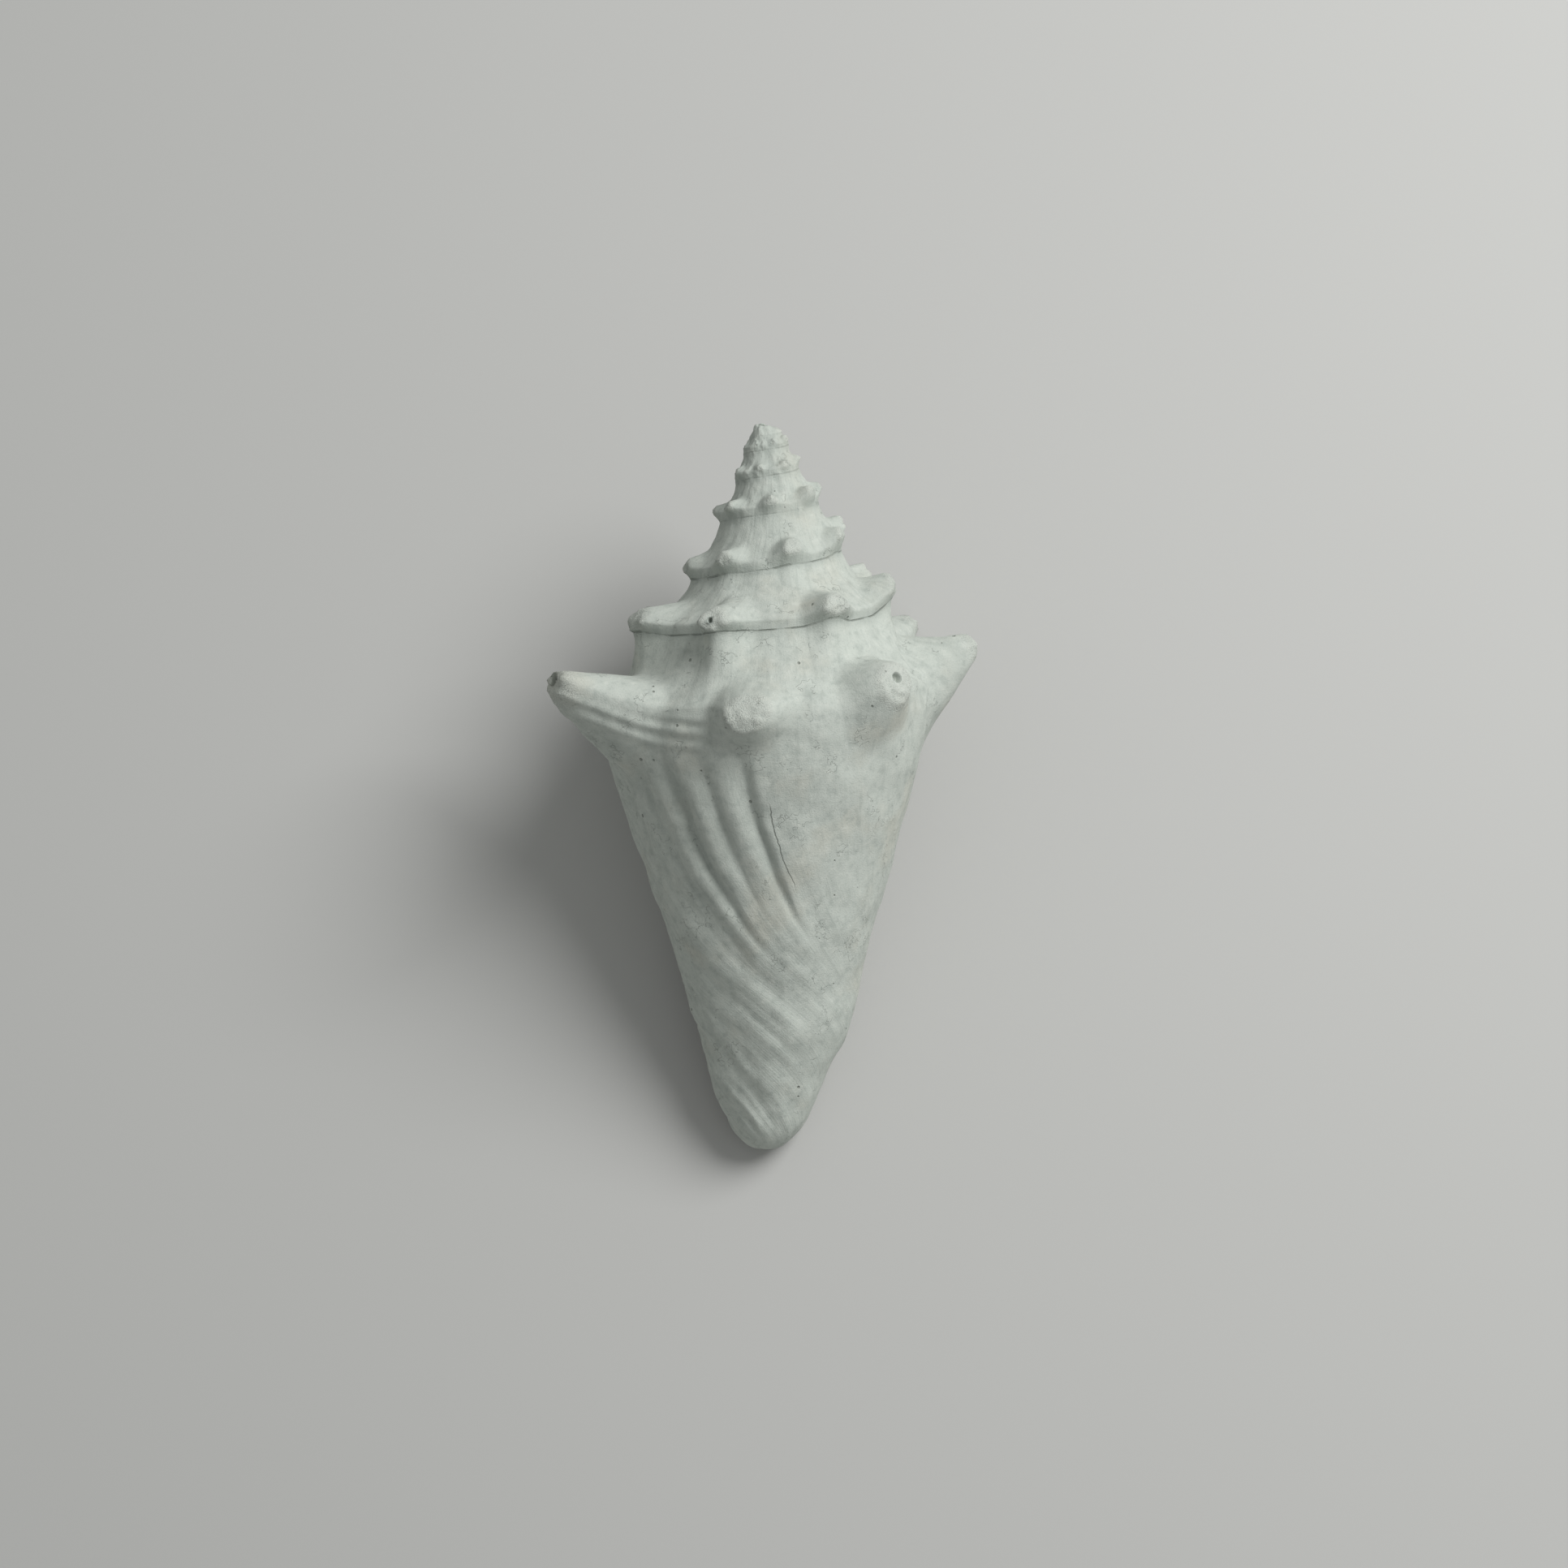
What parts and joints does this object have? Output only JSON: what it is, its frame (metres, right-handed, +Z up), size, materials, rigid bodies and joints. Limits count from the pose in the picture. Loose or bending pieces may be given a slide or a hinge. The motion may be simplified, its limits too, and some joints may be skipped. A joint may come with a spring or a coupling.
{
  "type": "conch shell",
  "caption": "Worn, bleached spiral sea shell with a tall knobbed spire, blunt shoulder spines, a tapering folded body and a long narrow aperture underneath.",
  "frame": {"origin": "middle of the shell's length and width, on the surface it lies on", "axes": "+Y towards the apex, +X to the right seen from above with the apex up, +Z up out of the back of the shell"},
  "size_m": [0.1044, 0.17, 0.0834],
  "materials": {
    "bleached_lime": "chalky matt, bleached off-white with faint grey-green and beige stains, fine pits and growth lines"
  },
  "bodies": {
    "root": {"shell": "bleached_lime"}
  },
  "joints": []
}
